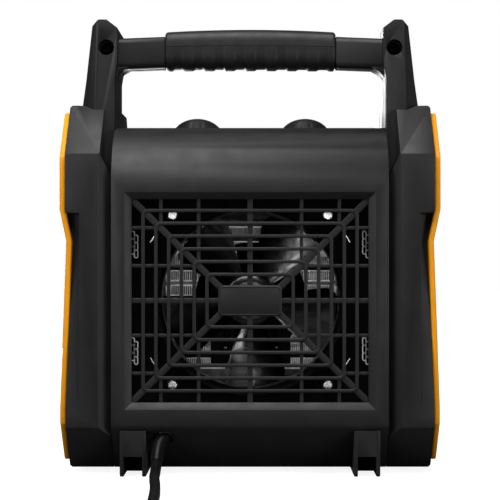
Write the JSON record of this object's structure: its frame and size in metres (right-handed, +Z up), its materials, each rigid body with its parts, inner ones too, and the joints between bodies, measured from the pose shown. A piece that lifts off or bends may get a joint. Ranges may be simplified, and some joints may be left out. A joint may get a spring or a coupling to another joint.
{
  "type": "ceramic space heater",
  "caption": "Portable ceramic space heater: drum-shaped casing between two side frames with orange covers, carrying handle, rear fan grille, front outlet grille, control knobs and mains cord.",
  "frame": {"origin": "on the floor, under the middle of the heater's casing", "axes": "+Z up, -Y towards the front, where the warm air leaves, +Y towards the rear intake grille, +X to the left as seen from behind"},
  "size_m": [0.2554, 0.579, 0.31],
  "materials": {
    "black_plastic": "satin, fine texture",
    "orange_plastic": "satin gloss",
    "grip_rubber": "soft matte",
    "steel": "zinc plated",
    "galvanised": "galvanised sheet",
    "aluminium": "bare fins",
    "bronze": "sintered",
    "copper": "lacquered windings",
    "white_plastic": "ceramic or heat resistant plastic",
    "lens_red": "glossy",
    "cord_rubber": "satin",
    "black_steel": "heat resistant black coating"
  },
  "bodies": {
    "root": {"rear_casing": "black_plastic", "front_casing": "black_plastic", "intake_grille": "black_plastic", "outlet_grille": "black_plastic", "side_frame_left": "black_plastic", "side_frame_right": "black_plastic", "side_cover_left": "orange_plastic", "side_cover_right": "orange_plastic", "handle_rear_half": "black_plastic", "handle_front_half": "black_plastic", "handle_screw_left": "steel", "handle_screw_right": "steel", "grip_upper": "grip_rubber", "grip_lower": "grip_rubber", "fan_shroud": "black_plastic", "shroud_screw_1": "steel", "shroud_screw_2": "steel", "shroud_screw_3": "steel", "shroud_screw_4": "steel", "motor_stator": "black_steel", "motor_coil": "copper", "bearing_bracket_rear": "black_steel", "bearing_bracket_front": "black_steel", "bearing_bush_rear": "bronze", "bearing_bush_front": "bronze", "motor_strap": "black_steel", "heat_shield": "black_steel", "heater_duct": "galvanised", "heater_rail_left": "white_plastic", "heater_rail_right": "white_plastic", "heater_module_1": "aluminium", "heater_module_2": "aluminium", "heater_module_3": "aluminium", "heater_module_4": "aluminium", "heater_module_5": "aluminium", "thermal_cutout": "white_plastic", "thermal_fuse": "steel", "terminal_block": "white_plastic", "inner_lead": "cord_rubber", "tilt_switch_bracket": "galvanised", "control_panel": "black_plastic", "pilot_lens": "lens_red", "thermostat_body": "white_plastic", "mode_switch_body": "white_plastic", "rear_foot_left": "grip_rubber", "rear_foot_right": "grip_rubber", "front_foot_left": "grip_rubber", "front_foot_right": "grip_rubber", "strain_relief": "cord_rubber", "mains_cord": "cord_rubber", "cord_coil": "cord_rubber", "mains_plug": "cord_rubber"},
    "fan": {"fan_impeller": "black_plastic", "motor_shaft": "steel", "motor_rotor": "galvanised"},
    "thermostat_control": {"thermostat_knob": "black_plastic", "thermostat_shaft": "steel"},
    "mode_control": {"mode_knob": "black_plastic", "mode_shaft": "steel"},
    "tilt_weight": {"tilt_switch_weight": "steel"}
  },
  "joints": [
    {"name": "fan_spin", "type": "hinge", "parent": "root", "child": "fan", "pos_m": [0, 0.0735, 0.11735], "axis": [0, 1, 0], "continuous": true},
    {"name": "thermostat_turn", "type": "hinge", "parent": "root", "child": "thermostat_control", "pos_m": [0.0411, -0.06, 0.2218], "axis": [0, -0.7071, 0.7071], "range_deg": [-270, 0]},
    {"name": "mode_turn", "type": "hinge", "parent": "root", "child": "mode_control", "pos_m": [-0.0411, -0.06, 0.2218], "axis": [0, -0.7071, 0.7071], "range_deg": [-135, 0]},
    {"name": "tilt_swing", "type": "hinge", "parent": "root", "child": "tilt_weight", "pos_m": [-0.058, -0.0405, 0.036], "axis": [0, 1, 0], "range_deg": [-25, 25]}
  ]
}
